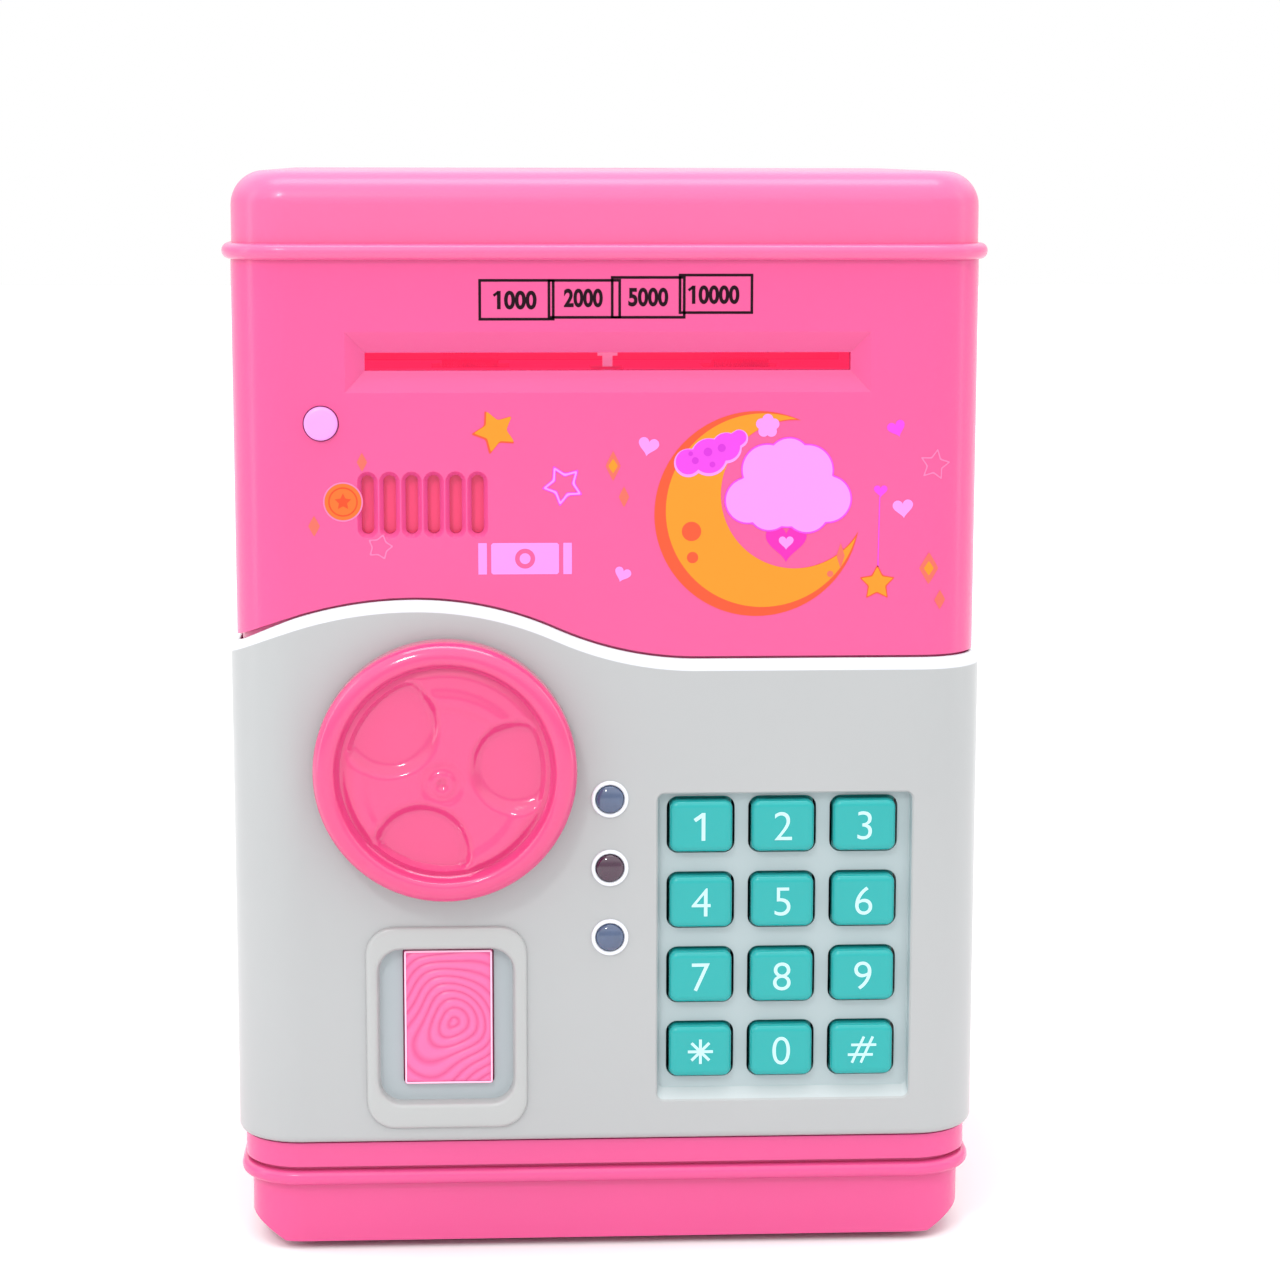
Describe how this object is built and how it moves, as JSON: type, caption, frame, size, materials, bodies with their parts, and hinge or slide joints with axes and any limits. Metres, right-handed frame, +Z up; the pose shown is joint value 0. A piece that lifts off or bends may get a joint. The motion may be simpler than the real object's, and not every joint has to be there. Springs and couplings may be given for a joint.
{
  "type": "toy safe coin bank",
  "caption": "Free-standing toy safe with a hinged front door, turning knob lock, keypad, motor-fed note slot, coin slot in the lid and a battery bay behind.",
  "frame": {"origin": "centre of the base's underside, where the toy stands", "axes": "+Z up, +X to the right of someone facing the door, the door faces -Y"},
  "size_m": [0.1342, 0.1244, 0.1922],
  "materials": {
    "case_pink": "satin",
    "door_grey": "satin",
    "key_teal": "satin",
    "knob_pink": "gloss",
    "pad_pink": "matte",
    "button_lilac": "gloss",
    "led_lens": "clear gloss",
    "steel": "bright",
    "zinc": "zinc plated",
    "black_plastic": "matte",
    "white_plastic": "matte",
    "circuit_board": "solder mask",
    "rubber_black": "matte",
    "mat_rubber": "matte",
    "copper_wire": "enamelled",
    "cell_wrap": "printed wrap",
    "brass_gear": "bright"
  },
  "bodies": {
    "case": {"base_tray": "case_pink", "body_shell": "case_pink", "lid": "case_pink", "base_screws": "zinc", "lid_screws": "zinc", "hinge_pin": "steel", "battery_box": "black_plastic", "battery_cells": "cell_wrap", "battery_springs": "steel", "speaker_holder": "case_pink", "speaker": "black_plastic", "main_board": "circuit_board", "button_board": "circuit_board", "feed_frame": "white_plastic", "feed_motor": "steel", "flap_pin": "steel", "note_switch": "black_plastic"},
    "door": {"door_shell": "door_grey", "door_back": "white_plastic", "door_board": "circuit_board", "keypad_mat": "mat_rubber", "door_screws": "zinc", "led_top": "led_lens", "led_middle": "led_lens", "led_bottom": "led_lens", "lock_coil": "copper_wire", "lock_spring": "steel"},
    "knob_set": {"knob": "knob_pink", "knob_screw": "zinc", "lock_cam": "white_plastic", "latch_arm": "zinc"},
    "plunger": {"lock_plunger": "steel"},
    "pad": {"finger_pad": "pad_pink"},
    "setting_button": {"setup_button": "button_lilac"},
    "flap": {"note_flap": "case_pink"},
    "drive_roller": {"drive_axle": "steel", "drive_tyres": "rubber_black", "drive_gear": "white_plastic"},
    "pinch_roller": {"pinch_axle": "steel", "pinch_tyres": "rubber_black"},
    "pinion": {"motor_pinion": "brass_gear"},
    "rear_cover": {"battery_cover": "case_pink", "cover_screw": "zinc"},
    "key_1_cap": {"key_1": "key_teal"},
    "key_2_cap": {"key_2": "key_teal"},
    "key_3_cap": {"key_3": "key_teal"},
    "key_4_cap": {"key_4": "key_teal"},
    "key_5_cap": {"key_5": "key_teal"},
    "key_6_cap": {"key_6": "key_teal"},
    "key_7_cap": {"key_7": "key_teal"},
    "key_8_cap": {"key_8": "key_teal"},
    "key_9_cap": {"key_9": "key_teal"},
    "key_star_cap": {"key_star": "key_teal"},
    "key_0_cap": {"key_0": "key_teal"},
    "key_hash_cap": {"key_hash": "key_teal"}
  },
  "joints": [
    {"name": "door_hinge", "type": "hinge", "parent": "case", "child": "door", "pos_m": [0.0642, -0.0386, 0.065], "axis": [0, 0, 1], "range_deg": [0, 100]},
    {"name": "knob_turn", "type": "hinge", "parent": "door", "child": "knob_set", "pos_m": [-0.0288, -0.0587, 0.0886], "axis": [0, 1, 0], "range_deg": [0, 70]},
    {"name": "lock_slide", "type": "slide", "parent": "door", "child": "plunger", "axis": [0, 0, 1], "range_m": [0, 0.0032], "stiffness_N_per_m": 60, "springref_m": -0.001, "deforming": ["lock_spring"]},
    {"name": "key_1_press", "type": "slide", "parent": "door", "child": "key_1_cap", "axis": [0, 1, 0], "range_m": [0, 0.0012], "stiffness_N_per_m": 400, "springref_m": -0.0004},
    {"name": "key_2_press", "type": "slide", "parent": "door", "child": "key_2_cap", "axis": [0, 1, 0], "range_m": [0, 0.0012], "stiffness_N_per_m": 400, "springref_m": -0.0004},
    {"name": "key_3_press", "type": "slide", "parent": "door", "child": "key_3_cap", "axis": [0, 1, 0], "range_m": [0, 0.0012], "stiffness_N_per_m": 400, "springref_m": -0.0004},
    {"name": "key_4_press", "type": "slide", "parent": "door", "child": "key_4_cap", "axis": [0, 1, 0], "range_m": [0, 0.0012], "stiffness_N_per_m": 400, "springref_m": -0.0004},
    {"name": "key_5_press", "type": "slide", "parent": "door", "child": "key_5_cap", "axis": [0, 1, 0], "range_m": [0, 0.0012], "stiffness_N_per_m": 400, "springref_m": -0.0004},
    {"name": "key_6_press", "type": "slide", "parent": "door", "child": "key_6_cap", "axis": [0, 1, 0], "range_m": [0, 0.0012], "stiffness_N_per_m": 400, "springref_m": -0.0004},
    {"name": "key_7_press", "type": "slide", "parent": "door", "child": "key_7_cap", "axis": [0, 1, 0], "range_m": [0, 0.0012], "stiffness_N_per_m": 400, "springref_m": -0.0004},
    {"name": "key_8_press", "type": "slide", "parent": "door", "child": "key_8_cap", "axis": [0, 1, 0], "range_m": [0, 0.0012], "stiffness_N_per_m": 400, "springref_m": -0.0004},
    {"name": "key_9_press", "type": "slide", "parent": "door", "child": "key_9_cap", "axis": [0, 1, 0], "range_m": [0, 0.0012], "stiffness_N_per_m": 400, "springref_m": -0.0004},
    {"name": "key_star_press", "type": "slide", "parent": "door", "child": "key_star_cap", "axis": [0, 1, 0], "range_m": [0, 0.0012], "stiffness_N_per_m": 400, "springref_m": -0.0004},
    {"name": "key_0_press", "type": "slide", "parent": "door", "child": "key_0_cap", "axis": [0, 1, 0], "range_m": [0, 0.0012], "stiffness_N_per_m": 400, "springref_m": -0.0004},
    {"name": "key_hash_press", "type": "slide", "parent": "door", "child": "key_hash_cap", "axis": [0, 1, 0], "range_m": [0, 0.0012], "stiffness_N_per_m": 400, "springref_m": -0.0004},
    {"name": "pad_press", "type": "slide", "parent": "door", "child": "pad", "axis": [0, 1, 0], "range_m": [0, 0.001], "stiffness_N_per_m": 400, "springref_m": -0.0004},
    {"name": "setting_button_press", "type": "slide", "parent": "case", "child": "setting_button", "axis": [0, 1, 0], "range_m": [0, 0.001], "stiffness_N_per_m": 300, "springref_m": -0.0004},
    {"name": "note_flap_swing", "type": "hinge", "parent": "case", "child": "flap", "pos_m": [0, -0.05, 0.1655], "axis": [1, 0, 0], "range_deg": [0, 40], "stiffness_Nm_per_rad": 0.0006, "springref_deg": -5.73},
    {"name": "feed_roller_spin", "type": "hinge", "parent": "case", "child": "drive_roller", "pos_m": [0, -0.042, 0.1654], "axis": [1, 0, 0], "continuous": true},
    {"name": "pinch_roller_spin", "type": "hinge", "parent": "case", "child": "pinch_roller", "pos_m": [0, -0.042, 0.1546], "axis": [1, 0, 0], "continuous": true},
    {"name": "motor_spin", "type": "hinge", "parent": "case", "child": "pinion", "pos_m": [0.048, -0.03033, 0.17102], "axis": [1, 0, 0], "continuous": true},
    {"name": "rear_cover_lift", "type": "slide", "parent": "case", "child": "rear_cover", "axis": [0, 1, 0], "range_m": [0, 0.03]}
  ],
  "couplings": [
    {"joint": "pinch_roller_spin", "follows": "feed_roller_spin", "ratio": -1.2222},
    {"joint": "motor_spin", "follows": "feed_roller_spin", "ratio": -3.1111}
  ]
}
